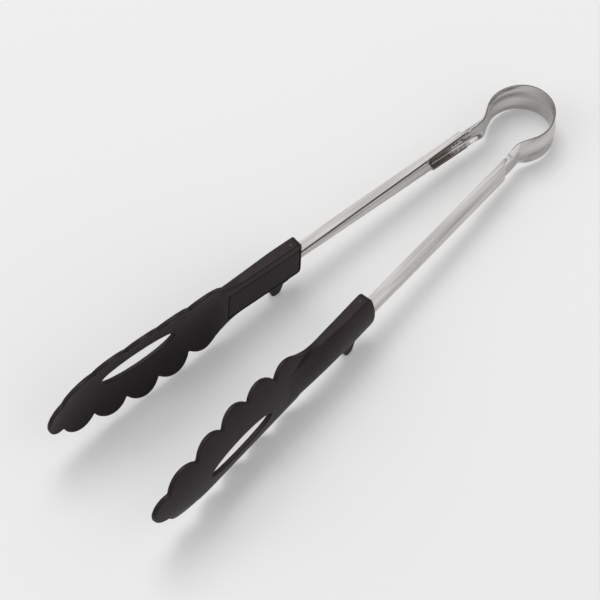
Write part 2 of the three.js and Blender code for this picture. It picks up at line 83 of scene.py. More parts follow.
def row_points(plan, side):
    """Rows of plan x, y and z in millimetres, as places in the row frame in metres."""
    mirrored = np.array(plan, float) * (side, 1, 1) * MM
    return mirrored @ np.array(TILTED).T + np.array(TONGS_ORIGIN)


def placed(points, side):
    """Rows of an arm's own x, y and z in millimetres, as places in the row frame in metres."""
    x, y = plan_points(points[:, 0], points[:, 1])
    return row_points(np.stack([x, y, points[:, 2]], axis=1), side)


# ---------------------------------------------------------------- moulded nylon heads
# Each head is one moulding of dark glass-filled nylon: a sleeve round the arm's end, a scoop with a
# scalloped rim and a long drain slot, and a small leg that keeps the scoop off the table. The sleeve's
# back falls onto the scoop's, and a valley runs between its long edge and the scoop's shoulder.
SLEEVE_HALF = 22.9 / 2
SLEEVE_LENGTH = 61.0
SLEEVE_CROWN = 8.7
SLEEVE_EDGE = 5.8
CROWN_STRAIGHT = 30.0
EDGE_NARROWING = (12.0, 42.0)
SLEEVE_CORNERS = (2.8, 2.4)
SCOOP_OFFSET = 4.5
SCOOP_THICKNESS = 2.3
SCOOP_RADIUS = 46.7
TIP_BEND_RADIUS = 139.0
TIP_BEND_START = 112.0
TIP_CENTRE = 142.5
LOBE_PITCH = 18.8
LOBE_BULGE = 5.2
NOTCH_HALF_WIDTHS = (9.4, 15.7, 18.4, 19.0, 16.7)
NOTCH_ROUNDING = 0.7
SHOULDER = (-51.5, 18.0)
SHOULDER_BULGE = 3.3
FAIRING = ((-47.3, 15.6), (-44.5, 12.0), (-36.0, SLEEVE_HALF))
SLOT_MIDDLE = -95.6
SLOT_HALF_LENGTH = 21.7
SLOT_HALF_WIDTH = 5.6
VALLEY_DEPTH = 1.4
VALLEY_START = 0.6
VALLEY_WIDTH = 5.5
VALLEY_FADE = (43.0, 60.0)
LEG_MIDDLE = -13.3
LEG_ROOT_HALF = 5.45
LEG_FOOT_HALF = 2.1
LEG_REACH = 20.7
LEG_INNER = 1.5
LEG_OUTER = 4.7
LEG_FADE = (0.2, 1.8)
LEG_FADE_MARGIN = 2.0
LEG_ROOT_ROUNDING = 1.2
LEG_FOOT_ROUNDING = 1.3
FAIRING_ROUNDING = 0.4
RIM_ROUNDING = 0.5
RECESS = (-44.4, -0.9, -10.55, 7.15)
RECESS_DEPTH = 1.2
RECESS_WALL = 0.05
RECESS_CORNER = 1.0
RECESS_CORNER_REACH = 1.2
GAP = 0.3

# How finely the mesh is cut, and where lines of points follow the shape's turns.
RIM_SPACING = 0.45
MESH_SPACING = 0.7
CORNER_STEPS = 5
ARC_STEPS = 32
FAIRING_STEPS = 16
SLOT_SIDES = 96
RING_ANGLES = (22.5, 45, 67.5, 90)
RIM_ROWS = (0.06, 0.94)
RIDGE_MESH_START = 34.0
RIDGE_MESH_OFFSETS = (-0.35, -0.05, 0.15, 0.35, 0.6, 0.9)
CROWN_END_HALF = 17.0
LEG_MESH_SPAN = (-20.0, -6.0)
LEG_MESH_OFFSETS = (0.2, 0.6, 1.0, 1.4, 1.8)

NYLON_CLOUD_MM = 9.0
NYLON_IOR = 1.5
NYLON_SHEEN_LEVEL = 0.25
NYLON_DARK = "#0e0c0c"
NYLON_GREY = "#171415"
NYLON_SHEEN = (1.0, 0.78, 0.84, 1.0)


def resampled(points, spacing, start=0.0, end=0.0):
    """Evenly spaced points along a line of points, without a length at its start and at its end."""
    points = np.asarray(points, float)
    run = np.concatenate([[0], np.cumsum(np.linalg.norm(np.diff(points, axis=0), axis=1))])
    count = max(2, math.ceil((run[-1] - start - end) / spacing) + 1)
    at = np.linspace(start, run[-1] - end, count)
    return np.stack([np.interp(at, run, points[:, k]) for k in range(2)], axis=1)


def closed_outline(runs, roundings, spacing):
    """One closed line from runs of points. Each rounding softens the corner at its run's end."""
    points = []
    share = np.linspace(0, 1, CORNER_STEPS + 1)[1:-1, None]
    for i, run in enumerate(runs):
        following = runs[(i + 1) % len(runs)]
        body = resampled(run, spacing, roundings[i - 1], roundings[i])
        points.extend(body)
        if roundings[i]:
            corner = np.asarray(run[-1], float)
            after = resampled(following, spacing, roundings[i])[0]
            points.extend((1 - share) ** 2 * body[-1] + 2 * share * (1 - share) * corner + share**2 * after)
    points = np.array(points)
    step = np.linalg.norm(points - np.roll(points, 1, axis=0), axis=1)
    return points[step > 1e-6]


def arc_points(a, b, bulge):
    """Points of the arc from a to b that stands out to the left of its chord by the bulge."""
    a, b = np.array(a, float), np.array(b, float)
    half = np.linalg.norm(b - a) / 2
    radius = (half**2 + bulge**2) / (2 * bulge)
    left = np.array([-(b - a)[1], (b - a)[0]]) / (2 * half)
    centre = (a + b) / 2 + left * (bulge - radius)
    start = math.atan2(*(a - centre)[::-1])
    angles = start - np.linspace(0, 2 * math.asin(half / radius), ARC_STEPS + 1)
    return centre + radius * np.stack([np.cos(angles), np.sin(angles)], axis=1)


def scoop_edge():
    """The runs of the head's upper edge from the tip to the sleeve: y, then z."""
    tip_radius = NOTCH_HALF_WIDTHS[0]
    angles = np.linspace(math.pi, math.pi / 2, ARC_STEPS // 2 + 1)
    tip = np.stack([np.cos(angles), np.sin(angles)], axis=1) * tip_radius - (TIP_CENTRE, 0)
    notches = [(i * LOBE_PITCH - TIP_CENTRE, width) for i, width in enumerate(NOTCH_HALF_WIDTHS)]
    lobes = [arc_points(a, b, LOBE_BULGE) for a, b in zip(notches, notches[1:])]
    shoulder = arc_points(notches[-1], SHOULDER, SHOULDER_BULGE)
    share = np.linspace(0, 1, FAIRING_STEPS + 1)[:, None]
    p1, p2, p3 = (np.array(point) for point in FAIRING)
    fairing = (
        (1 - share) ** 3 * np.array(SHOULDER) + 3 * share * (1 - share) ** 2 * p1
        + 3 * share**2 * (1 - share) * p2 + share**3 * p3
    )
    return [tip, *lobes, shoulder, fairing]


def head_outline():
    """The head's outline in y and z: the scoop's rim, the sleeve's end and the leg."""
    upper = scoop_edge()
    lower = [run[::-1] * (1, -1) for run in upper[::-1]]
    slope = LEG_ROOT_HALF - LEG_FOOT_HALF
    near_root = (LEG_MIDDLE + LEG_ROOT_HALF, -SLEEVE_HALF)
    far_root = (LEG_MIDDLE - LEG_ROOT_HALF, -SLEEVE_HALF)
    tilt = TILTED[2][1]
    near_foot = (near_root[0] - slope, -LEG_REACH - tilt * LEG_FOOT_HALF)
    far_foot = (far_root[0] + slope, -LEG_REACH + tilt * LEG_FOOT_HALF)
    straight = [
        [upper[-1][-1], (0, SLEEVE_HALF)],
        [(0, SLEEVE_HALF), (0, -SLEEVE_HALF)],
        [(0, -SLEEVE_HALF), near_root],
        [near_root, near_foot],
        [near_foot, far_foot],
        [far_foot, far_root],
        [far_root, lower[0][0]],
    ]
    runs = [*upper, *straight, *lower]
    leg_roundings = [LEG_ROOT_ROUNDING, LEG_FOOT_ROUNDING, LEG_FOOT_ROUNDING, LEG_ROOT_ROUNDING]
    roundings = [NOTCH_ROUNDING] * (len(upper) - 1) + [FAIRING_ROUNDING]
    roundings += [*SLEEVE_CORNERS, *leg_roundings, FAIRING_ROUNDING]
    roundings += [NOTCH_ROUNDING] * (len(lower) - 1) + [0.0]
    return closed_outline(runs, roundings, RIM_SPACING)


def distance_to(points, lines, closed=True):
    """Each point's distance to the nearest of the lines."""
    a = np.concatenate([line if closed else line[:-1] for line in lines])
    b = np.concatenate([np.roll(line, -1, axis=0) if closed else line[1:] for line in lines])
    edge = b - a
    squared = (edge**2).sum(axis=1)
    nearest = []
    batch = 2000
    for at in range(0, len(points), batch):
        part = points[at:at + batch, None] - a
        share = np.clip((part * edge).sum(axis=2) / squared, 0, 1)
        nearest.append(np.linalg.norm(part - share[..., None] * edge, axis=2).min(axis=1))
    return np.concatenate(nearest)


def inside(points, loop):
    """Whether each point lies inside a closed loop."""
    result = np.zeros(len(points), bool)
    x, y = points[:, 0], points[:, 1]
    for (x0, y0), (x1, y1) in zip(loop, np.roll(loop, -1, axis=0)):
        if y0 != y1:
            crosses = (y0 > y) != (y1 > y)
            result ^= crosses & (x < x0 + (y - y0) * (x1 - x0) / (y1 - y0))
    return result


def inward(loop, holds_material):
    """Unit normals of a loop that point into the material."""
    following, before = np.roll(loop, -1, axis=0), np.roll(loop, 1, axis=0)
    along = following - before
    normals = np.stack([-along[:, 1], along[:, 0]], axis=1)
    area = (loop[:, 0] * following[:, 1] - following[:, 0] * loop[:, 1]).sum()
    normals *= 1 if (area > 0) == holds_material else -1
    return normals / np.linalg.norm(normals, axis=1, keepdims=True)


def two_skins(outline, holes, rounding, spacing, skins, lines=(), extra=()):
    """A moulding with an inner and an outer skin over one outline, and rounded edges between them.

    skins(points) gives the inner and the outer x of each y, z point. The mesh has edges along the closed
    lines and points on the extra open ones. Returns vertices and faces."""
    loops = [outline, *holes]
    turns = np.radians(RING_ANGLES)
    depths = [*(rounding * (1 - np.cos(turns))), rounding + spacing / 2]
    rings = []
    for number, loop in enumerate(loops):
        normals = inward(loop, number == 0)
        rings.extend((loop + normals * depth, depth) for depth in depths)
    low, high = outline.min(axis=0), outline.max(axis=0)
    rows = np.arange(low[1], high[1], spacing * math.sqrt(3) / 2)
    columns = np.arange(low[0], high[0], spacing)
    grid = np.array([(x + spacing / 2 * (i % 2), y) for i, y in enumerate(rows) for x in columns])
    rings.extend((np.asarray(points, float), 0.0) for points in extra)
    rings.append((grid, rounding + spacing))
    kept = []
    for points, depth in rings:
        good = inside(points, outline)
        for hole in holes:
            good &= ~inside(points, hole)
        points = points[good]
        # where an outline turns sharply, the points that come nearer to it than their ring are dropped
        kept.append(points[distance_to(points, loops) > depth * 0.96 + 0.01])
    if lines or extra:
        features = [np.asarray(points, float) for points in (*lines, *extra)]
        kept[-1] = kept[-1][distance_to(kept[-1], features, closed=False) > spacing / 3]
    fixed = [*loops, *lines]
    edges = []
    count = 0
    for loop in fixed:
        edges.extend((count + i, count + (i + 1) % len(loop)) for i in range(len(loop)))
        count += len(loop)
    flat = np.concatenate([*fixed, *kept])
    found = geometry.delaunay_2d_cdt([Vector(p) for p in flat], edges, [], 1, 1e-5)
    points = np.array([tuple(p) for p in found[0]])
    faces = np.array([face for face in found[2] if len(face) == 3])
    middles = points[faces].mean(axis=1)
    solid = inside(middles, outline)
    for hole in holes:
        solid &= ~inside(middles, hole)
    faces = faces[solid]
    used, faces = np.unique(faces, return_inverse=True)
    points, faces = points[used], faces.reshape(-1, 3)
    depth = distance_to(points, loops)
    fall = rounding - np.sqrt(np.maximum(rounding**2 - np.maximum(rounding - depth, 0) ** 2, 0))
    inner, outer = skins(points)
    inner, outer = inner + fall, outer - fall
    number = len(points)
    vertices = [np.column_stack([outer, points]), np.column_stack([inner, points])]
    polygons = [*faces.tolist(), *(faces[:, ::-1] + number).tolist()]
    sides = np.concatenate([faces[:, [0, 1]], faces[:, [1, 2]], faces[:, [2, 0]]])
    keys = {tuple(edge) for edge in sides.tolist()}
    border = [(a, b) for a, b in keys if (b, a) not in keys]
    rim = sorted({a for a, _ in border} | {b for _, b in border})
    place = {vertex: i for i, vertex in enumerate(rim)}
    columns = [np.array(rim)]
    count = 2 * number
    for share in RIM_ROWS:
        x = outer[rim] + (inner[rim] - outer[rim]) * share
        vertices.append(np.column_stack([x, points[rim]]))
        columns.append(np.arange(count, count + len(rim)))
        count += len(rim)
    columns.append(np.array(rim) + number)
    for a, b in border:
        for upper, lower in zip(columns, columns[1:]):
            i, j = place[a], place[b]
            polygons.append((int(upper[j]), int(upper[i]), int(lower[i]), int(lower[j])))
    return np.concatenate(vertices), polygons


def smoothstep(value, low, high):
    """A share that rises from 0 to 1 between two values, level at both ends."""
    share = np.clip((value - low) / (high - low), 0, 1)
    return share * share * (3 - 2 * share)


def blend_values(a, b, share):
    """A value a share of the way from a to b."""
    return a + (b - a) * share


def scoop_fall(y, z):
    """How far the scoop's slab has bent inwards at a place."""
    past = np.maximum(-y - TIP_BEND_START, 0)
    return past**2 / (2 * TIP_BEND_RADIUS) + z**2 / (2 * SCOOP_RADIUS)


def head_skins(points):
    """The inner and the outer x of the head at each y and z."""
    y, z = points[:, 0], points[:, 1]
    back = SCOOP_OFFSET + SCOOP_THICKNESS / 2
    hollow = SCOOP_OFFSET - SCOOP_THICKNESS / 2
    height = np.abs(z)
    scoop = back - scoop_fall(y, z)
    shoulder = height - SLEEVE_HALF
    valley = smoothstep(shoulder, 0, VALLEY_START) * (1 - smoothstep(shoulder, VALLEY_START, VALLEY_WIDTH))
    flank = scoop - VALLEY_DEPTH * valley * (1 - smoothstep(-y, *VALLEY_FADE))
    past = np.maximum(-y - CROWN_STRAIGHT, 0) / (SLEEVE_LENGTH - CROWN_STRAIGHT)
    crown = SLEEVE_CROWN - (SLEEVE_CROWN - back) * past**2
    edge = blend_values(SLEEVE_EDGE, back - scoop_fall(y, SLEEVE_HALF), smoothstep(-y, *EDGE_NARROWING))
    sleeve = blend_values(crown, edge, np.minimum(height / SLEEVE_HALF, 1) ** 2)
    outer = np.where((-y < SLEEVE_LENGTH) & (shoulder <= 0), sleeve, flank)
    face_end = -RECESS[0]
    run = smoothstep(-y, face_end + 1, SLEEVE_LENGTH)
    inner = (hollow - scoop_fall(y, z)) * run
    in_recess = np.clip(-rectangle_distance(points) / RECESS_WALL, 0, 1)
    inner = inner + RECESS_DEPTH * in_recess
    at_leg = np.abs(y - LEG_MIDDLE) < LEG_ROOT_HALF + LEG_FADE_MARGIN
    leg = smoothstep(-SLEEVE_HALF - z, *LEG_FADE) * at_leg
    return blend_values(inner, LEG_INNER, leg), blend_values(outer, LEG_OUTER, leg)


def rectangle_distance(points):
    """Signed distance to the rounded rectangle of the cover's recess, negative inside it."""
    low_y, high_y, low_z, high_z = RECESS
    centre = np.array([(low_y + high_y) / 2, (low_z + high_z) / 2])
    half = np.array([(high_y - low_y) / 2, (high_z - low_z) / 2]) - RECESS_CORNER
    past = np.abs(points - centre) - half
    outside = np.linalg.norm(np.maximum(past, 0), axis=1)
    return outside + np.minimum(past.max(axis=1), 0) - RECESS_CORNER


def recess_loop(margin):
    """The recess's rounded rectangle, made smaller by a margin."""
    low_y, high_y, low_z, high_z = RECESS
    corners = [
        (low_y + margin, low_z + margin), (high_y - margin, low_z + margin),
        (high_y - margin, high_z - margin), (low_y + margin, high_z - margin),
    ]
    runs = [[a, b] for a, b in zip(corners, [*corners[1:], corners[0]])]
    return closed_outline(runs, [RECESS_CORNER_REACH] * 4, MESH_SPACING)


def mesh_piece(name, vertices, faces, material, sharp=35):
    """A finished mesh object with smooth faces and sharp edges above an angle in degrees."""
    mesh = bpy.data.meshes.new(name)
    mesh.from_pydata([tuple(v) for v in vertices], [], [tuple(f) for f in faces])
    work = bmesh.new()
    work.from_mesh(mesh)
    bmesh.ops.recalc_face_normals(work, faces=work.faces)
    work.to_mesh(mesh)
    work.free()
    mesh.shade_smooth()
    mesh.set_sharp_from_angle(angle=math.radians(sharp))
    mesh.materials.append(material)
    piece = bpy.data.objects.new(name, mesh)
    bpy.context.scene.collection.objects.link(piece)
    return piece


def linear(code):
    """An sRGB hex colour as a linear one."""
    parts = [int(code[i:i + 2], 16) / 255 for i in (1, 3, 5)]
    return (*[p / 12.92 if p <= 0.04045 else ((p + 0.055) / 1.055) ** 2.4 for p in parts], 1.0)


def add_node(tree, kind, inputs=None, **settings):
    """Adds a node with its settings. An input is a value, or another node's output to link."""
    node = tree.nodes.new(kind)
    for name, value in settings.items():
        setattr(node, name, value)
    for name, value in (inputs or {}).items():
        if isinstance(value, bpy.types.NodeSocket):
            tree.links.new(value, node.inputs[name])
        else:
            node.inputs[name].default_value = value
    return node


def new_material(name):
    """A new material and its empty node tree."""
    material = bpy.data.materials.new(name)
    material.use_nodes = True
    material.node_tree.nodes.clear()
    return material, material.node_tree


def moulded_nylon(name, grain_mm, grain_depth_mm, roughness):
    """Glass-filled nylon 6, injection moulded: nearly black, with the mould's fine spark-eroded grain,
    which spreads its highlights, and slightly cloudy where the glass lies near the surface. Its
    highlights are weak and faintly warm."""
    material, tree = new_material(name)
    place = add_node(tree, "ShaderNodeTexCoord").outputs["Object"]
    cloud = add_node(
        tree, "ShaderNodeTexNoise",
        {"Vector": place, "Scale": 1 / (NYLON_CLOUD_MM * MM), "Detail": 3.0},
    )
    grain = add_node(
        tree, "ShaderNodeTexNoise",
        {"Vector": place, "Scale": 1 / (grain_mm * MM), "Detail": 2.0, "Roughness": 0.6},
    )
    colour = add_node(tree, "ShaderNodeValToRGB", {"Fac": cloud.outputs["Fac"]})
    colour.color_ramp.elements[0].position = 0.35
    colour.color_ramp.elements[0].color = linear(NYLON_DARK)
    colour.color_ramp.elements[1].position = 0.65
    colour.color_ramp.elements[1].color = linear(NYLON_GREY)
    gloss = add_node(
        tree, "ShaderNodeMapRange",
        {"Value": cloud.outputs["Fac"], "To Min": roughness - 0.05, "To Max": roughness + 0.06},
    )
    bump = add_node(
        tree, "ShaderNodeBump",
        {"Height": grain.outputs["Fac"], "Strength": 0.5, "Distance": grain_depth_mm * MM},
    )
    shader = add_node(
        tree, "ShaderNodeBsdfPrincipled",
        {
            "Base Color": colour.outputs["Color"], "Roughness": gloss.outputs["Result"],
            "Normal": bump.outputs["Normal"], "IOR": NYLON_IOR,
            "Specular IOR Level": NYLON_SHEEN_LEVEL, "Specular Tint": NYLON_SHEEN,
        },
    )
    add_node(tree, "ShaderNodeOutputMaterial", {"Surface": shader.outputs["BSDF"]})
    return material


head_nylon = moulded_nylon("moulded_nylon", grain_mm=0.5, grain_depth_mm=0.02, roughness=0.5)
head_loop = head_outline()
slot_turn = np.linspace(0, 2 * math.pi, SLOT_SIDES + 1)[:-1]
slot_loop = np.stack(
    [SLOT_MIDDLE + SLOT_HALF_LENGTH * np.cos(slot_turn), SLOT_HALF_WIDTH * np.sin(slot_turn)], axis=1
)
ridge_runs = [
    [(y, side * (SLEEVE_HALF + past)) for y in np.arange(-SLEEVE_LENGTH, -RIDGE_MESH_START, 0.5)]
    for side in (1, -1) for past in RIDGE_MESH_OFFSETS
]
crown_end = [[(-SLEEVE_LENGTH, z) for z in np.arange(-CROWN_END_HALF, CROWN_END_HALF + 0.1, 0.5)]]
leg_root = [
    [(y, -SLEEVE_HALF - past) for y in np.arange(*LEG_MESH_SPAN, 0.4)] for past in LEG_MESH_OFFSETS
]
head_vertices, head_faces = two_skins(
    head_loop, [slot_loop], RIM_ROUNDING, MESH_SPACING, head_skins,
    lines=[recess_loop(0.0), recess_loop(RECESS_WALL)], extra=[*ridge_runs, *crown_end, *leg_root],
)
for side_name, side in SIDES.items():
    head = mesh_piece(f"{side_name}_head_moulding", placed(head_vertices, side), head_faces, head_nylon)
    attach(head, f"{side_name}_arm")
    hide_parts(f"{side_name}_head")

# ---------------------------------------------------------------- covers over the arms' ends
# A flat nylon plate snaps into the recess of each sleeve's inner face and hides the arm's end. A narrow
# open seam shows all round it, and its moulded face has a coarser texture than the head.
COVER_THICKNESS = 0.9
COVER_ROUNDING = 0.15
COVER_SEAM = 0.55
COVER_SPACING = 1.2

cover_nylon = moulded_nylon("textured_nylon", grain_mm=0.8, grain_depth_mm=0.09, roughness=0.56)
cover_loop = recess_loop(COVER_SEAM)
cover_vertices, cover_faces = two_skins(
    cover_loop, [], COVER_ROUNDING, COVER_SPACING,
    lambda points: (np.zeros(len(points)), np.full(len(points), COVER_THICKNESS)),
)
for side_name, side in SIDES.items():
    cover = mesh_piece(f"{side_name}_cover_plate", placed(cover_vertices, side), cover_faces, cover_nylon)
    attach(cover, f"{side_name}_arm")
    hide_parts(f"{side_name}_head_cover")

# ---------------------------------------------------------------- folded stainless arms
# Each arm is 0.8 mm brushed stainless sheet, folded to a channel that opens inwards and widens towards the
# bow. Its lower flange wraps on round the inner side as far as the bow's tang, and leaves a narrow seam
# open. At the bow end the web stops, and the two flanges run on as ears.
ARM_SHEET = 0.8
ARM_FACE = 7.2
ARM_HEIGHTS = (6.8, 12.8)
ARM_DEPTHS = (6.1, 3.8)
ARM_BEND = 2.4
ARM_EAR_BEND = 1.7
WRAP_BEND = 1.4
WRAP_GAP = 1.2
WRAP_END = (79.0, 84.3)
WRAP_LEAST_TURN = 0.05
WRAP_TURN_RATE = 12
ARM_LENGTH = 102.7
ARM_INSERT = 38.0
ARM_EAR = 3.6
ARM_NOTCH = 0.8
EAR_TRIM = 0.3
WEB_TRIM = 0.1
CUT_MARGIN = 2.0
LIP_ROUNDING = 0.18
ARM_STEPS = (2.0, 0.8, 0.6)
ARM_FINE_START = 70.0
STEEL_LIGHT = "#efecea"
STEEL_DEEP = "#a9a5a2"
# Painted shade: the darker steel colour laid on the tang where it lies inside the arm's channel.
STEEL_CHANNEL_SHADE = "#88837f"
# The strips' cut rims take this darker colour, partly as sheared metal and partly as painted shade along
# the rim.
STEEL_SHEARED_AND_SHADE = "#6f6a67"
SHEARED_ROUGHNESS = 0.6
STREAKS_PER_METRE = (18.0, 420.0, 1.0)


def quarter_bend(outer_radius, sheet):
    """The length at mid sheet of a square bend."""
    return (outer_radius - sheet / 2) * math.pi / 2


def half_section(parts, sheet, rounding):
    """One half of a folded strip's middle line, from the web's middle to its rounded lip, at all stations.

    Each part has a length at every station, a turn and a number of steps. Each row returned has the rise,
    the depth, the heading, the way round and half the sheet."""
    count = len(parts[0][0])
    rise, depth, heading, way = np.zeros(count), np.full(count, sheet / 2), np.zeros(count), np.zeros(count)
    rows = [(rise, depth, heading, way, sheet / 2)]
    for number, (length, turn, steps) in enumerate(parts):
        length = length - rounding * (number == len(parts) - 1)
        for share in np.linspace(0, 1, steps + 1)[1:]:
            half_turn = turn * share / 2
            chord = length * share * np.sinc(half_turn / math.pi)
            rows.append((
                rise + chord * np.cos(heading + half_turn), depth + chord * np.sin(heading + half_turn),
                heading + turn * share, way + length * share, sheet / 2,
            ))
        rise, depth, heading, way, _ = rows[-1]
    for angle in np.radians([60, 30, 0]):
        reach = rounding * math.cos(angle)
        rows.append((
            rise + reach * np.cos(heading), depth + reach * np.sin(heading), heading, way + reach,
            sheet / 2 - rounding * (1 - math.sin(angle)),
        ))
    return rows


def strip_section(upper, lower, sheet, rounding):
    """Rise, depth, way round and cut edges of a folded strip's closed section at each station."""
    below = half_section(lower, sheet, rounding)[:0:-1]
    rows = [(-rise, depth, -heading, -way, half) for rise, depth, heading, way, half in below]
    rows += half_section(upper, sheet, rounding)
    loop = [(row, 1) for row in rows] + [(row, -1) for row in rows[::-1]]
    rises = [rise + skin * half * np.sin(heading) for (rise, _, heading, _, half), skin in loop]
    depths = [depth - skin * half * np.cos(heading) for (_, depth, heading, _, half), skin in loop]
    cut = [float(np.max(row[4]) < 0.9 * sheet / 2) for row, _ in loop]
    return np.array(rises), np.array(depths), np.array([row[3] for row, _ in loop]), np.array(cut)


def swept_strip(name, section, run, place_x, place_y, facing, channel_shade, side, material, in_plan):
    """Joins the sections along a strip whose outer face has a place and a facing at each station, in the
    plan of the whole tongs or in the arm's own frame. Its UV map holds the way along and the way across
    in metres, and its attributes mark the cut edges and where painted shade darkens the tang inside the
    arm's channel."""
    rise, depth, around, cut = section
    x = place_x - depth * np.cos(facing)
    y = place_y - depth * np.sin(facing)
    points = np.stack([x.T.ravel(), y.T.ravel(), rise.T.ravel()], axis=1)
    size, stations = rise.shape
    faces = []
    for i in range(stations - 1):
        for j in range(size):
            a, b = i * size + j, i * size + (j + 1) % size
            faces.append((a, b, b + size, a + size))
    half = size // 2
    for start in (0, (stations - 1) * size):
        for j in range(half - 1):
            faces.append((start + j, start + j + 1, start + size - 2 - j, start + size - 1 - j))
    vertices = row_points(points, side) if in_plan else placed(points, side)
    piece = mesh_piece(name, vertices, faces, material)
    along = np.repeat(run, size) * MM
    across = around.T.ravel() * MM
    layer = piece.data.uv_layers.new(name="strip")
    corner = np.zeros(len(piece.data.loops), np.int32)
    piece.data.loops.foreach_get("vertex_index", corner)
    places = np.stack([along[corner], across[corner]], axis=1)
    layer.data.foreach_set("uv", places.ravel().astype(np.float32))
    # The second mark holds the tang's painted shade inside the arm's channel.
    for layer_name, values in (("cut_edge", np.tile(cut, stations)), ("channel_shade", np.repeat(channel_shade, size))):
        marks = piece.data.attributes.new(layer_name, "FLOAT", "POINT")
        marks.data.foreach_set("value", values.astype(np.float32))
    return piece


def cut_away(piece, vertices, faces):
    """Cuts a closed shape out of a piece, which stays one plain mesh."""
    cutter = mesh_piece("cutter", vertices, faces, piece.data.materials[0])
    modifier = piece.modifiers.new("cut", "BOOLEAN")
    modifier.operation = "DIFFERENCE"
    modifier.solver = "EXACT"
    modifier.object = cutter
    bpy.context.view_layer.update()
    cut = bpy.data.meshes.new_from_object(piece.evaluated_get(bpy.context.evaluated_depsgraph_get()))
    piece.modifiers.clear()
    piece.data = cut
    bpy.data.objects.remove(cutter)
    cut.set_sharp_from_angle(angle=math.radians(35))


def prism(outline, low, high, side):
    """A prism over an outline in the arm's x and y, between two heights."""
    count = len(outline)
    points = [(x, y, z) for z in (low, high) for x, y in outline]
    faces = [tuple(range(count)), tuple(range(2 * count - 1, count - 1, -1))]
    faces += [(i, (i + 1) % count, count + (i + 1) % count, count + i) for i in range(count)]
    return placed(np.array(points, float), side), faces


def brushed_steel(name, light, deep, roughness, line_mm, line_length_mm, bump_mm, anisotropy):
    """Stainless steel 18/10 with a brushed or polished grain along the strip. The grain's scratches are
    drawn coarser than the real 0.05 mm ones, because those are too fine to show, over streaks some 55 mm
    long and 2.4 mm wide. The metal is faintly warm. Its edges cut by the shears are dull and darker,
    partly from the shears and partly as painted shade along the rim. Painted shade darkens the tang
    inside the arm's channel."""
    material, tree = new_material(name)
    strip = add_node(tree, "ShaderNodeUVMap", uv_map="strip").outputs["UV"]
    stretch = (1 / line_length_mm / MM, 1 / line_mm / MM, 1.0)
    lines_at = add_node(tree, "ShaderNodeMapping", {"Vector": strip, "Scale": stretch})
    streaks_at = add_node(tree, "ShaderNodeMapping", {"Vector": strip, "Scale": STREAKS_PER_METRE})
    lines = add_node(
        tree, "ShaderNodeTexNoise", {"Vector": lines_at.outputs["Vector"], "Scale": 1.0, "Detail": 4.0}
    )
    streaks = add_node(
        tree, "ShaderNodeTexNoise", {"Vector": streaks_at.outputs["Vector"], "Scale": 1.0, "Detail": 2.0}
    )
    both = add_node(
        tree, "ShaderNodeMix", {0: 0.45, 2: lines.outputs["Fac"], 3: streaks.outputs["Fac"]},
        data_type="FLOAT",
    )
    colour = add_node(tree, "ShaderNodeValToRGB", {"Fac": both.outputs[0]})
    colour.color_ramp.elements[0].position = 0.3
    colour.color_ramp.elements[0].color = linear(deep)
    colour.color_ramp.elements[1].position = 0.7
    colour.color_ramp.elements[1].color = linear(light)
    gloss = add_node(
        tree, "ShaderNodeMapRange",
        {"Value": lines.outputs["Fac"], "To Min": roughness - 0.06, "To Max": roughness + 0.08},
    )
    bump = add_node(
        tree, "ShaderNodeBump",
        {"Height": lines.outputs["Fac"], "Strength": 0.35, "Distance": bump_mm * MM},
    )
    tangent = add_node(tree, "ShaderNodeTangent", direction_type="UV_MAP", uv_map="strip")
    edge = add_node(tree, "ShaderNodeAttribute", attribute_type="GEOMETRY", attribute_name="cut_edge")
    # Painted shade: a mark along the tang inside the arm's channel mixes in a darker colour.
    shade_mark = add_node(tree, "ShaderNodeAttribute", attribute_type="GEOMETRY", attribute_name="channel_shade")
    channel_shaded = add_node(
        tree, "ShaderNodeMix",
        {0: shade_mark.outputs["Fac"], 6: colour.outputs["Color"], 7: linear(STEEL_CHANNEL_SHADE)}, data_type="RGBA",
    )
    # The cut rims are darkened, partly as sheared metal and partly as painted shade.
    sheared_and_shaded = add_node(
        tree, "ShaderNodeMix",
        {0: edge.outputs["Fac"], 6: channel_shaded.outputs[2], 7: linear(STEEL_SHEARED_AND_SHADE)}, data_type="RGBA",
    )
    dulled = add_node(
        tree, "ShaderNodeMix", {0: edge.outputs["Fac"], 2: gloss.outputs["Result"], 3: SHEARED_ROUGHNESS},
        data_type="FLOAT",
    )
    shader = add_node(
        tree, "ShaderNodeBsdfPrincipled",
        {
            "Base Color": sheared_and_shaded.outputs[2], "Metallic": 1.0, "Roughness": dulled.outputs[0],
            "Normal": bump.outputs["Normal"], "Anisotropic": anisotropy,
            "Anisotropic Rotation": 0.25, "Tangent": tangent.outputs["Tangent"],
        },
    )
    add_node(tree, "ShaderNodeOutputMaterial", {"Surface": shader.outputs["BSDF"]})
    return material


arm_steel = brushed_steel(
    "brushed_stainless", STEEL_LIGHT, STEEL_DEEP,
    roughness=0.8, line_mm=0.35, line_length_mm=40, bump_mm=0.012, anisotropy=0.85,
)
arm_tip = ARM_LENGTH + ARM_EAR
arm_stops = (-ARM_INSERT, ARM_FINE_START, ARM_LENGTH, arm_tip)
arm_run = np.concatenate([
    np.arange(start, end, step) for start, end, step in zip(arm_stops, arm_stops[1:], ARM_STEPS)
])
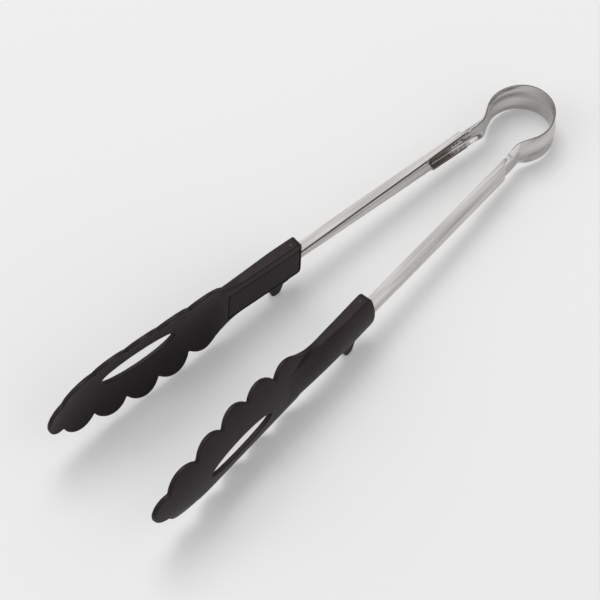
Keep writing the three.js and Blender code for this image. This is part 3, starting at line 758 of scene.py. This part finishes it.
# The arms carry none of the tang's painted shade.
arm_unshaded = np.zeros(len(arm_run))
widening = np.clip(arm_run / ARM_LENGTH, 0, 1)
arm_height, arm_depth = blend_values(*ARM_HEIGHTS, widening), blend_values(*ARM_DEPTHS, widening)
arm_bend = np.full(len(arm_run), quarter_bend(ARM_BEND, ARM_SHEET))
arm_upper = [
    (arm_height / 2 - ARM_BEND, 0, 4), (arm_bend, math.pi / 2, 10), (arm_depth - ARM_BEND, 0, 4),
]
wrapped = 1 - smoothstep(arm_run, *WRAP_END)
wrap_turned = WRAP_LEAST_TURN + (1 - WRAP_LEAST_TURN) * np.minimum(WRAP_TURN_RATE * wrapped, 1)
arm_lower = [
    *arm_upper[:2],
    (arm_depth - ARM_BEND - WRAP_BEND * wrap_turned, 0, 4),
    (quarter_bend(WRAP_BEND, ARM_SHEET) * wrap_turned, math.pi / 2 * wrap_turned, 8),
    (wrapped * (arm_height - WRAP_BEND - ARM_SHEET - WRAP_GAP) + 2 * LIP_ROUNDING, 0, 4),
]
arm_section = strip_section(arm_upper, arm_lower, ARM_SHEET, LIP_ROUNDING)
lip = ARM_FACE - ARM_DEPTHS[1]
ear_root = ARM_FACE - ARM_EAR_BEND
end_cut = [
    (lip - CUT_MARGIN, arm_tip - EAR_TRIM), (lip, arm_tip - EAR_TRIM),
    (ear_root, ARM_LENGTH), (ear_root, ARM_LENGTH - ARM_NOTCH),
    (ear_root + ARM_NOTCH, ARM_LENGTH - ARM_NOTCH), (ear_root + ARM_NOTCH, ARM_LENGTH - WEB_TRIM),
    (ARM_FACE + CUT_MARGIN, ARM_LENGTH - WEB_TRIM), (ARM_FACE + CUT_MARGIN, arm_tip + CUT_MARGIN),
    (lip - CUT_MARGIN, arm_tip + CUT_MARGIN),
]
for side_name, side in SIDES.items():
    arm = swept_strip(
        f"{side_name}_arm_channel", arm_section, arm_run, ARM_FACE, arm_run, 0.0, arm_unshaded,
        side, arm_steel, in_plan=False,
    )
    cut_away(arm, *prism(end_cut, -ARM_HEIGHTS[1], ARM_HEIGHTS[1], side))
    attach(arm, f"{side_name}_arm")
    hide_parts(f"{side_name}_arm")

# ---------------------------------------------------------------- spring bow
# One strip of hard-rolled and polished stainless spring steel makes the whole spring. Round the loop its
# web is folded to a flat V with lips turned back. In the neck it is a shallow channel, and in the arm a
# small one, spot welded in place. It is made as two halves that meet at the loop's crown.
BOW_STRIP = 0.7
BOW_RADIUS = 17.0
BOW_HEIGHT = 18.9
BOW_STRAIGHT = 9.0
REVERSE_RADIUS = 3.0
NECK_LENGTH = 12.2
NECK_OPENING = (0.5, 6.0)
NECK_WEB = 3.7
NECK_BEND = 1.7
NECK_BEND_TURN = 1.0
NECK_EDGE = 1.9
EDGE_FADE = (7.0, 22.0)
TANG_LAP = 18.0
TANG_BEND = 1.7
TANG_LIP = 0.4
LOOP_FOLD = 0.34
LOOP_FOLD_START = 2.0
LOOP_FOLD_END = 20.0
LOOP_RIDGE = 0.3
LOOP_RIDGE_BEND = 1.4
LOOP_WEB = 4.0
LOOP_FLARE = 0.62
LOOP_FLARE_BEND = 3.6
# Where the tang's painted shade starts and where it is full, in millimetres into the arm from its end.
CHANNEL_SHADE_SPAN = (3.0, 9.0)
CROWN_STATIONS = (0.0, 0.05, 0.2)
BOW_STEP = 0.8
REVERSE_STEP = 0.35
SPRING_LIGHT = "#d2cfcd"
SPRING_DEEP = "#b7b4b2"

tang_face = ARM_FACE - ARM_SHEET - GAP
neck_end = ARM_LENGTH + NECK_LENGTH
mid_radius = BOW_RADIUS - BOW_STRIP / 2
reverse_x, reverse_y = plan_points(tang_face - BOW_STRIP / 2 + REVERSE_RADIUS, neck_end)
radius_sum = mid_radius + REVERSE_RADIUS
loop_rise = math.sqrt(radius_sum**2 + BOW_STRAIGHT**2 - reverse_x**2)
loop_y = reverse_y + loop_rise
end_facing = math.atan2(BOW_STRAIGHT, radius_sum) - math.atan2(loop_rise, reverse_x)
loop_length = (math.pi / 2 - end_facing) * mid_radius
reverse_length = (ARM_LEAN - end_facing) * REVERSE_RADIUS
stretches = np.cumsum([loop_length, BOW_STRAIGHT, reverse_length, NECK_LENGTH + TANG_LAP])


def bow_stations(run):
    """Where the strip's outer face is and where it looks, in the plan, a way along it from the crown."""
    facing = np.clip(math.pi / 2 - run / mid_radius, end_facing, None)
    back = np.clip(run - stretches[0], 0, BOW_STRAIGHT)
    x = BOW_RADIUS * np.cos(facing) + back * math.sin(end_facing)
    y = loop_y + BOW_RADIUS * np.sin(facing) - back * math.cos(end_facing)
    turning = run > stretches[1]
    turned = np.clip(end_facing + (run - stretches[1]) / REVERSE_RADIUS, end_facing, ARM_LEAN)
    reach = REVERSE_RADIUS - BOW_STRIP / 2
    x = np.where(turning, reverse_x - reach * np.cos(turned), x)
    y = np.where(turning, reverse_y - reach * np.sin(turned), y)
    facing = np.where(turning, turned, facing)
    down = np.clip(run - stretches[2], 0, None)
    return x + down * math.sin(ARM_LEAN), y - down * math.cos(ARM_LEAN), facing


def bow_section(run):
    """Half the section. The tang's channel opens in the neck, and the loop is a web folded to a flat V."""
    out = stretches[2] + NECK_LENGTH - run
    share = np.clip(1 + out / ARM_LENGTH, 0, 1)
    inset = ARM_SHEET + GAP
    ridge = LOOP_RIDGE + LOOP_RIDGE_BEND
    tang_web = blend_values(*ARM_HEIGHTS, share) / 2 - inset - TANG_BEND
    tang_edge = blend_values(*ARM_DEPTHS, share) - inset + TANG_LIP - TANG_BEND
    opened = smoothstep(out, *NECK_OPENING)
    faded = smoothstep(out, *EDGE_FADE)
    web = blend_values(tang_web, NECK_WEB, opened)
    bend = blend_values(quarter_bend(TANG_BEND, BOW_STRIP), NECK_BEND, opened)
    turn = blend_values(math.pi / 2, NECK_BEND_TURN, opened) * (1 - faded)
    edge = blend_values(tang_edge, NECK_EDGE, opened)
    whole = blend_values(web + bend + edge, BOW_HEIGHT / 2, faded)
    web, bend = blend_values(web, LOOP_WEB, faded), blend_values(bend, LOOP_FLARE_BEND, faded)
    shaped = faded * smoothstep(run, LOOP_FOLD_START, LOOP_FOLD_END)
    fold, turn = LOOP_FOLD * shaped, turn - LOOP_FLARE * shaped
    still = np.zeros(len(run))
    return [
        (still + LOOP_RIDGE, 0, 2), (still + LOOP_RIDGE_BEND, fold, 6), (web - ridge, 0, 4),
        (bend, turn, 10), (whole - web - bend, 0, 6),
    ]


bow_steel = brushed_steel(
    "polished_spring_steel", SPRING_LIGHT, SPRING_DEEP,
    roughness=0.13, line_mm=0.5, line_length_mm=60, bump_mm=0.003, anisotropy=0.0,
)
bow_run = np.concatenate([
    CROWN_STATIONS, np.arange(BOW_STEP, stretches[0], BOW_STEP),
    np.arange(stretches[0], stretches[2], REVERSE_STEP),
    np.arange(stretches[2], stretches[3], BOW_STEP), [stretches[3]],
])
half_bow_section = bow_section(bow_run)
bow_skins = strip_section(half_bow_section, half_bow_section, BOW_STRIP, LIP_ROUNDING)
bow_places = bow_stations(bow_run)
# Painted shade darkens the tang from a little inside the arm's end to the tang's end.
bow_channel_shade = smoothstep(bow_run - stretches[2] - NECK_LENGTH, *CHANNEL_SHADE_SPAN)
for side_name, side in SIDES.items():
    half_bow = swept_strip(
        f"{side_name}_half_of_bow", bow_skins, bow_run, *bow_places, bow_channel_shade,
        side, bow_steel, in_plan=True,
    )
    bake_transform(half_bow)
    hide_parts("spring_bow")

# ---------------------------------------------------------------- spot welds
# Rows of small spot welds hold each tang in its arm. Each is a low ring of metal that the electrode pressed
# up, with the straw and grey tint of the heat left round it. They show on the tang's inner face.
WELDS_ALONG = 4
WELDS_ACROSS = 2
WELD_MIDDLE = 99.8
WELD_PITCH = 2.3
WELD_SCATTER = 0.45
WELD_RADIUS = 0.95
WELD_RISE = 0.22
WELD_CREST = 0.55
WELD_SIZES = (0.8, 1.15)
WELD_SIDES = 20
WELD_TINT = "#38322f"
WELD_BRIGHT = "#c4bdb6"
TINT_PATCHES_PER_METRE = 1100.0


def weld_rows():
    """Geometry nodes that set out rows of low round mounds, each a little different in size."""
    tree = bpy.data.node_groups.new("spot_weld_rows", "GeometryNodeTree")
    sockets = {
        name: tree.interface.new_socket(name=name, in_out="INPUT", socket_type=kind).identifier
        for name, kind in (
            ("Along", "NodeSocketInt"), ("Across", "NodeSocketInt"), ("Pitch", "NodeSocketFloat"),
            ("Scatter", "NodeSocketFloat"), ("Radius", "NodeSocketFloat"), ("Rise", "NodeSocketFloat"),
            ("Steel", "NodeSocketMaterial"),
        )
    }
    tree.interface.new_socket(name="Geometry", in_out="OUTPUT", socket_type="NodeSocketGeometry")
    given = add_node(tree, "NodeGroupInput").outputs
    spans = []
    for count in ("Along", "Across"):
        gaps = add_node(tree, "ShaderNodeMath", {0: given[count], 1: 1.0}, operation="SUBTRACT")
        spans.append(add_node(
            tree, "ShaderNodeMath", {0: gaps.outputs[0], 1: given["Pitch"]}, operation="MULTIPLY"
        ).outputs[0])
    grid = add_node(tree, "GeometryNodeMeshGrid", {
        "Size X": spans[0], "Size Y": spans[1], "Vertices X": given["Along"], "Vertices Y": given["Across"],
    })
    way = add_node(
        tree, "FunctionNodeRandomValue", {0: (-1.0, -1.0, 0.0), 1: (1.0, 1.0, 0.0), "Seed": 2},
        data_type="FLOAT_VECTOR",
    )
    shift = add_node(
        tree, "ShaderNodeVectorMath", {0: way.outputs[0], "Scale": given["Scatter"]}, operation="SCALE"
    )
    strewn = add_node(
        tree, "GeometryNodeSetPosition", {"Geometry": grid.outputs["Mesh"], "Offset": shift.outputs[0]}
    )
    crest = add_node(tree, "ShaderNodeMath", {0: given["Radius"], 1: WELD_CREST}, operation="MULTIPLY")
    mound = add_node(tree, "GeometryNodeMeshCone", {
        "Vertices": WELD_SIDES, "Side Segments": 3, "Fill Segments": 2,
        "Radius Top": crest.outputs[0], "Radius Bottom": given["Radius"], "Depth": given["Rise"],
    })
    size = add_node(tree, "FunctionNodeRandomValue", {2: WELD_SIZES[0], 3: WELD_SIZES[1], "Seed": 5})
    welds = add_node(tree, "GeometryNodeInstanceOnPoints", {
        "Points": strewn.outputs["Geometry"], "Instance": mound.outputs["Mesh"], "Scale": size.outputs[1],
    })
    real = add_node(tree, "GeometryNodeRealizeInstances", {"Geometry": welds.outputs["Instances"]})
    made = add_node(
        tree, "GeometryNodeSetMaterial", {"Geometry": real.outputs["Geometry"], "Material": given["Steel"]}
    )
    add_node(tree, "NodeGroupOutput", {"Geometry": made.outputs["Geometry"]})
    return tree, sockets


def heat_tinted_steel():
    """Stainless steel where a spot weld heated it: matt, with brown and grey tints in patches of about
    0.9 mm."""
    material, tree = new_material("heat_tinted_steel")
    place = add_node(tree, "ShaderNodeTexCoord").outputs["Object"]
    patches = add_node(
        tree, "ShaderNodeTexNoise",
        {"Vector": place, "Scale": TINT_PATCHES_PER_METRE, "Detail": 3.0},
    )
    colour = add_node(tree, "ShaderNodeValToRGB", {"Fac": patches.outputs["Fac"]})
    colour.color_ramp.elements[0].position = 0.42
    colour.color_ramp.elements[0].color = linear(WELD_TINT)
    colour.color_ramp.elements[1].position = 0.66
    colour.color_ramp.elements[1].color = linear(WELD_BRIGHT)
    bump = add_node(
        tree, "ShaderNodeBump", {"Height": patches.outputs["Fac"], "Strength": 0.6, "Distance": 0.04 * MM}
    )
    shader = add_node(tree, "ShaderNodeBsdfPrincipled", {
        "Base Color": colour.outputs["Color"], "Metallic": 1.0, "Roughness": 0.5,
        "Normal": bump.outputs["Normal"],
    })
    add_node(tree, "ShaderNodeOutputMaterial", {"Surface": shader.outputs["BSDF"]})
    return material


weld_tree, weld_sockets = weld_rows()
weld_steel = heat_tinted_steel()
weld_face = tang_face - BOW_STRIP
for side_name, side in SIDES.items():
    welds = bpy.data.objects.new(f"{side_name}_spot_welds", bpy.data.meshes.new("spot_welds"))
    bpy.context.scene.collection.objects.link(welds)
    modifier = welds.modifiers.new("rows", "NODES")
    modifier.node_group = weld_tree
    for name, value in {
        "Along": WELDS_ALONG, "Across": WELDS_ACROSS, "Pitch": WELD_PITCH, "Scatter": WELD_SCATTER,
        "Radius": WELD_RADIUS, "Rise": WELD_RISE, "Steel": weld_steel,
    }.items():
        modifier[weld_sockets[name]] = value
    bpy.context.view_layer.update()
    mesh = bpy.data.meshes.new_from_object(welds.evaluated_get(bpy.context.evaluated_depsgraph_get()))
    welds.modifiers.clear()
    welds.data = mesh
    flat = np.zeros(3 * len(mesh.vertices))
    mesh.vertices.foreach_get("co", flat)
    along, across, out = flat.reshape(-1, 3).T
    spots = np.stack([weld_face - out, WELD_MIDDLE + along, across], axis=1)
    mesh.vertices.foreach_set("co", placed(spots, side).ravel())
    if side > 0:
        mesh.flip_normals()
    mesh.update()
    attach(welds, f"{side_name}_arm")

# ---------------------------------------------------------------- cross pins
# A drawn steel pin, pressed through sleeve and arm from above, locks each head on its arm. Its domed end
# shows in the sleeve's upper edge.
PIN_RADIUS = 0.8
PIN_CHAMFER = 0.2
PIN_PROUD = 0.12
PIN_DOME = (0.03, 0.08)
PIN_SIDES = 32
PIN_GREY = "#4c4848"
PIN_GRAIN_MM = 0.4
PIN_ROUGHNESS = (0.5, 0.7)

# Drawn steel wire, left matt by the die: its fine marks spread the highlight, so the end looks dark.
pin_steel, pin_tree = new_material("drawn_steel_wire")
pin_place = add_node(pin_tree, "ShaderNodeTexCoord").outputs["Object"]
pin_noise = add_node(
    pin_tree, "ShaderNodeTexNoise", {"Vector": pin_place, "Scale": 1 / (PIN_GRAIN_MM * MM)}
)
pin_gloss = add_node(
    pin_tree, "ShaderNodeMapRange",
    {"Value": pin_noise.outputs["Fac"], "To Min": PIN_ROUGHNESS[0], "To Max": PIN_ROUGHNESS[1]},
)
pin_shader = add_node(
    pin_tree, "ShaderNodeBsdfPrincipled",
    {"Base Color": linear(PIN_GREY), "Metallic": 1.0, "Roughness": pin_gloss.outputs["Result"]},
)
add_node(pin_tree, "ShaderNodeOutputMaterial", {"Surface": pin_shader.outputs["BSDF"]})

pin_end = SLEEVE_HALF + PIN_PROUD
half_profile = [
    (0, pin_end), (PIN_RADIUS / 2, pin_end - PIN_DOME[0]),
    (PIN_RADIUS - PIN_CHAMFER, pin_end - PIN_DOME[1]), (PIN_RADIUS, pin_end - PIN_DOME[1] - PIN_CHAMFER),
]
pin_profile = half_profile + [(r, -z) for r, z in half_profile[::-1]]
pin_turn = np.linspace(0, 2 * math.pi, PIN_SIDES + 1)[:-1]
pin_points = [(PIN_OFFSET, -PIN_ALONG, pin_end)]
for radius, height in pin_profile[1:-1]:
    for turn in pin_turn:
        x, y = PIN_OFFSET + radius * math.cos(turn), -PIN_ALONG + radius * math.sin(turn)
        pin_points.append((x, y, height))
pin_points.append((PIN_OFFSET, -PIN_ALONG, -pin_end))
pin_faces = []
last_point = len(pin_points) - 1
for i in range(PIN_SIDES):
    j = (i + 1) % PIN_SIDES
    pin_faces.append((0, 1 + i, 1 + j))
    for row in range(len(pin_profile) - 3):
        start = 1 + row * PIN_SIDES
        pin_faces.append((start + i, start + PIN_SIDES + i, start + PIN_SIDES + j, start + j))
    pin_faces.append((last_point, last_point - PIN_SIDES + j, last_point - PIN_SIDES + i))
for side_name, side in SIDES.items():
    pin = mesh_piece(f"{side_name}_cross_pin", placed(np.array(pin_points), side), pin_faces, pin_steel)
    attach(pin, f"{side_name}_arm")
    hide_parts(f"{side_name}_head_pin")

# ---------------------------------------------------------------- table, light and camera
# A plain white acrylic table top that glows a little, under a soft lamp high on the left, a larger and
# weaker one in front, a very large weak one low on the right, and an even pale sky.
CAMERA_HEADING = -45.9895
CAMERA_ELEVATION = 58.2940
CAMERA_ROLL = -2.1293
CAMERA_DISTANCE = 2.45647
CAMERA_LENS = 316.461
CAMERA_AIM = (-0.003254, -0.015379, 0.020)
CAMERA_CLIP_END = 20.0
TABLE_HALF = 4.0
TABLE_PALE = "#c5c5c5"
TABLE_GLOW = 0.16
LAMP_DISTANCE = 3.0
LAMPS = {  # azimuth and rise in degrees, size in metres, power in watts
    "key_panel": (150, 64.5, 1.6, 45),
    "fill_panel": (240, 41, 2.4, 22),
    "side_panel": (5, 25, 4.0, 26),
}
SKY_LOW = "#c8c8c8"
SKY_HIGH = "#cccccc"

# Acrylic sheet with a matt face, which gives soft shadows and no highlight.
table_paint, table_tree = new_material("matt_white_acrylic")
table_shader = add_node(
    table_tree, "ShaderNodeBsdfPrincipled",
    {
        "Base Color": linear(TABLE_PALE), "Roughness": 0.9, "Specular IOR Level": 0.0,
        "Emission Color": linear("#ffffff"), "Emission Strength": TABLE_GLOW,
    },
)
add_node(table_tree, "ShaderNodeOutputMaterial", {"Surface": table_shader.outputs["BSDF"]})
table_mesh = bpy.data.meshes.new("table")
table_corners = [(x * TABLE_HALF, y * TABLE_HALF, 0) for x, y in ((-1, -1), (1, -1), (1, 1), (-1, 1))]
table_mesh.from_pydata(table_corners, [], [(0, 1, 2, 3)])
table_mesh.materials.append(table_paint)
table = bpy.data.objects.new("table", table_mesh)
bpy.context.scene.collection.objects.link(table)


def lamp_place(azimuth, rise):
    """A place on the lamps' sphere round the tongs, from its azimuth and its rise in degrees."""
    turn, rise = math.radians(azimuth), math.radians(rise)
    direction = Vector((math.cos(turn) * math.cos(rise), math.sin(turn) * math.cos(rise), math.sin(rise)))
    return direction * LAMP_DISTANCE


for name, (azimuth, rise, size, power) in LAMPS.items():
    lamp = bpy.data.lights.new(name, "AREA")
    lamp.size = size
    lamp.energy = power
    holder = bpy.data.objects.new(name, lamp)
    holder.location = lamp_place(azimuth, rise)
    holder.rotation_euler = (-lamp_place(azimuth, rise)).to_track_quat("-Z", "Y").to_euler()
    bpy.context.scene.collection.objects.link(holder)

world = bpy.data.worlds.new("ceiling")
world.use_nodes = True
world.node_tree.nodes.clear()
sky_direction = add_node(world.node_tree, "ShaderNodeTexCoord").outputs["Generated"]
sky_height = add_node(world.node_tree, "ShaderNodeSeparateXYZ", {"Vector": sky_direction}).outputs["Z"]
sky_colour = add_node(world.node_tree, "ShaderNodeValToRGB", {"Fac": sky_height})
sky_colour.color_ramp.elements[0].position = 0.0
sky_colour.color_ramp.elements[0].color = linear(SKY_LOW)
sky_colour.color_ramp.elements[1].position = 0.6
sky_colour.color_ramp.elements[1].color = linear(SKY_HIGH)
sky = add_node(
    world.node_tree, "ShaderNodeBackground", {"Color": sky_colour.outputs["Color"], "Strength": 1.0}
)
add_node(world.node_tree, "ShaderNodeOutputWorld", {"Surface": sky.outputs["Background"]})
bpy.context.scene.world = world

heading, elevation = math.radians(CAMERA_HEADING), math.radians(CAMERA_ELEVATION)
level = math.cos(elevation)
forward = Vector((math.sin(heading) * level, math.cos(heading) * level, -math.sin(elevation)))
right = Matrix.Rotation(-math.radians(CAMERA_ROLL), 3, forward) @ forward.cross((0, 0, 1)).normalized()
camera_data = bpy.data.cameras.new("camera")
camera_data.lens = CAMERA_LENS
camera_data.clip_end = CAMERA_CLIP_END
camera = bpy.data.objects.new("camera", camera_data)
turned = Matrix((right, right.cross(forward), -forward)).transposed()
camera.matrix_world = Matrix.Translation(Vector(CAMERA_AIM) - forward * CAMERA_DISTANCE) @ turned.to_4x4()
bpy.context.scene.collection.objects.link(camera)
bpy.context.scene.camera = camera
bpy.context.scene.view_settings.view_transform = "Standard"
